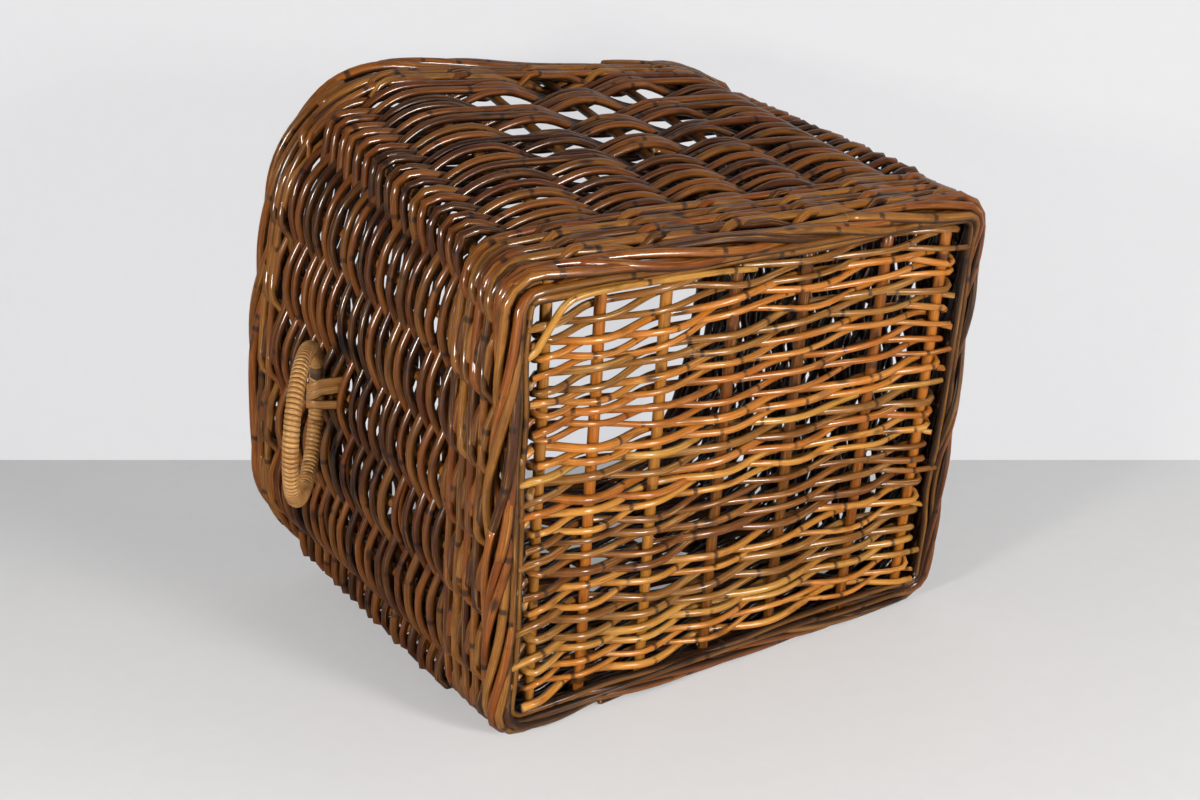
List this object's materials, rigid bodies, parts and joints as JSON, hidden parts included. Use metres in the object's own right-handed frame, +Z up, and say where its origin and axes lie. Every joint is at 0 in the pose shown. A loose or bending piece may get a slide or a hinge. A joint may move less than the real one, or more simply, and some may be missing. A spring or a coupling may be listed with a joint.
{
  "type": "wicker basket",
  "caption": "Open rectangular woven willow basket with a twisted mouth border and a swinging ring handle on each end.",
  "frame": {"origin": "middle of the base, on the plane that the foot stands on", "axes": "+Z up through the mouth, +X along the long side towards the right-hand end's handle"},
  "size_m": [0.5498, 0.4092, 0.335],
  "materials": {
    "side_willow": "gloss",
    "foot_willow": "gloss",
    "stake_willow": "satin",
    "base_willow": "gloss",
    "stick_willow": "satin",
    "cane": "satin",
    "rattan_core": "satin"
  },
  "bodies": {
    "basket": {"base_stick_1": "stick_willow", "base_stick_2": "stick_willow", "base_stick_3": "stick_willow", "base_stick_4": "stick_willow", "base_stick_5": "stick_willow", "base_stick_6": "stick_willow", "base_stick_7": "stick_willow", "base_weave_1": "base_willow", "base_weave_2": "base_willow", "base_weave_3": "base_willow", "base_weave_4": "base_willow", "base_weave_5": "base_willow", "base_weave_6": "base_willow", "base_weave_7": "base_willow", "foot_wale_outer": "foot_willow", "foot_wale_inner": "foot_willow", "front_stake_1": "stake_willow", "front_stake_2": "stake_willow", "front_stake_3": "stake_willow", "front_stake_4": "stake_willow", "front_stake_5": "stake_willow", "right_stake_1": "stake_willow", "right_stake_2": "stake_willow", "right_stake_3": "stake_willow", "right_stake_4": "stake_willow", "right_stake_5": "stake_willow", "back_stake_1": "stake_willow", "back_stake_2": "stake_willow", "back_stake_3": "stake_willow", "back_stake_4": "stake_willow", "back_stake_5": "stake_willow", "left_stake_1": "stake_willow", "left_stake_2": "stake_willow", "left_stake_3": "stake_willow", "left_stake_4": "stake_willow", "left_stake_5": "stake_willow", "corner_post_front_left": "stake_willow", "corner_post_front_right": "stake_willow", "corner_post_back_right": "stake_willow", "corner_post_back_left": "stake_willow", "upsett_wale_1": "foot_willow", "upsett_wale_2": "foot_willow", "side_weave_1": "side_willow", "side_weave_2": "side_willow", "side_weave_3": "side_willow", "side_weave_4": "side_willow", "side_weave_5": "side_willow", "side_weave_6": "side_willow", "side_weave_7": "side_willow", "top_wale": "foot_willow", "mouth_border": "foot_willow", "left_handle_lashing": "cane", "right_handle_lashing": "cane"},
    "left_handle": {"left_handle_hoop": "rattan_core", "left_handle_cane_wrap": "cane"},
    "right_handle": {"right_handle_hoop": "rattan_core", "right_handle_cane_wrap": "cane"}
  },
  "joints": [
    {"name": "left_handle_swing", "type": "hinge", "parent": "basket", "child": "left_handle", "pos_m": [-0.21466, -0.00988, 0.20479], "axis": [-0.0439, 0.999, 0], "range_deg": [-36, 136]},
    {"name": "right_handle_swing", "type": "hinge", "parent": "basket", "child": "right_handle", "pos_m": [0.21466, 0.00988, 0.20563], "axis": [0.0439, -0.999, 0], "range_deg": [-36, 136]}
  ]
}
